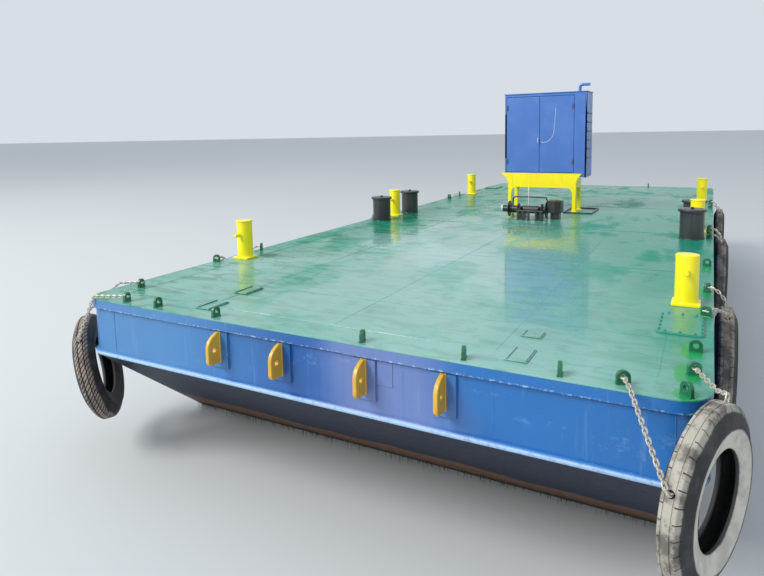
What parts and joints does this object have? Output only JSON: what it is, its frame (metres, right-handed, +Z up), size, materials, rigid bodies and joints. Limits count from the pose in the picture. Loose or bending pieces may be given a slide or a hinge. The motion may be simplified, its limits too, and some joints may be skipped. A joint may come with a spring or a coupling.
{
  "type": "flat-top steel work barge",
  "caption": "Flat-decked steel barge, raked at both ends, with bollards, towing eyes, tyre fenders on chains, a deck winch and a machinery cabinet on a stand.",
  "frame": {"origin": "middle of the flat hull bottom", "axes": "+Y forward along the hull, +X to starboard, +Z up"},
  "size_m": [5.6411, 12.8854, 3.9607],
  "materials": {
    "hull_blue": "worn gloss paint",
    "deck_green": "wet gloss deck paint",
    "safety_yellow": "gloss paint",
    "bitt_black": "satin paint",
    "cabinet_blue": "semi-gloss paint",
    "tyre_rubber": "weathered rubber",
    "galvanised_chain": "dull galvanised, rust-tinged",
    "machine_grey": "satin paint",
    "bare_steel": "heat-stained"
  },
  "bodies": {
    "barge": {"hull": "hull_blue", "deck_plate_aft": "deck_green", "deck_plate": "deck_green", "stringer_plate": "deck_green", "headlog_aft": "hull_blue", "headlog_fore": "hull_blue", "rub_strake_port": "hull_blue", "rub_strake_starboard": "hull_blue", "tow_eye_aft_1": "safety_yellow", "tow_eye_aft_2": "safety_yellow", "tow_eye_aft_3": "safety_yellow", "tow_eye_aft_4": "safety_yellow", "tow_eye_fore_1": "safety_yellow", "tow_eye_fore_2": "safety_yellow", "tow_eye_fore_3": "safety_yellow", "tow_eye_fore_4": "safety_yellow", "bollard_aft_port": "safety_yellow", "bollard_mid_port": "safety_yellow", "bollard_fore_port": "safety_yellow", "bollard_aft_starboard": "safety_yellow", "bollard_mid_starboard": "safety_yellow", "bollard_fore_starboard": "safety_yellow", "bitt_aft_port": "bitt_black", "bitt_fore_port": "bitt_black", "bitt_aft_starboard": "bitt_black", "bitt_fore_starboard": "bitt_black", "deck_socket_port_1": "deck_green", "deck_socket_port_2": "deck_green", "deck_socket_starboard_1": "deck_green", "deck_socket_starboard_2": "deck_green", "manhole_cover_aft": "deck_green", "manhole_cover_fore": "deck_green", "tyre_corner_starboard": "tyre_rubber", "tyre_corner_port": "tyre_rubber", "tyre_aft_starboard": "tyre_rubber", "tyre_aft_port": "tyre_rubber", "tyre_mid_starboard": "tyre_rubber", "tyre_mid_port": "tyre_rubber", "tyre_fore_starboard": "tyre_rubber", "tyre_fore_port": "tyre_rubber", "chain_corner_starboard": "galvanised_chain", "chain_corner_port": "galvanised_chain", "chain_aft_starboard": "galvanised_chain", "chain_aft_port": "galvanised_chain", "chain_mid_starboard": "galvanised_chain", "chain_mid_port": "galvanised_chain", "chain_fore_starboard": "galvanised_chain", "chain_fore_port": "galvanised_chain", "stand": "safety_yellow", "cabinet": "cabinet_blue", "power_pack": "machine_grey", "exhaust": "bare_steel", "winch_frame": "bitt_black", "winch_motor": "bitt_black", "deck_rack": "bitt_black"},
    "port_door": {"door_port": "cabinet_blue"},
    "starboard_door": {"door_starboard": "cabinet_blue"},
    "drum": {"winch_drum": "bitt_black"}
  },
  "joints": [
    {"name": "port_door_hinge", "type": "hinge", "parent": "barge", "child": "port_door", "pos_m": [-0.729, 0.861, 3.15], "axis": [0, 0, 1], "range_deg": [-110, 0]},
    {"name": "starboard_door_hinge", "type": "hinge", "parent": "barge", "child": "starboard_door", "pos_m": [0.378, 0.861, 3.15], "axis": [0, 0, 1], "range_deg": [0, 110]},
    {"name": "winch_drum_turn", "type": "hinge", "parent": "barge", "child": "drum", "pos_m": [0, 0.035, 1.968], "axis": [1, 0, 0], "continuous": true}
  ]
}
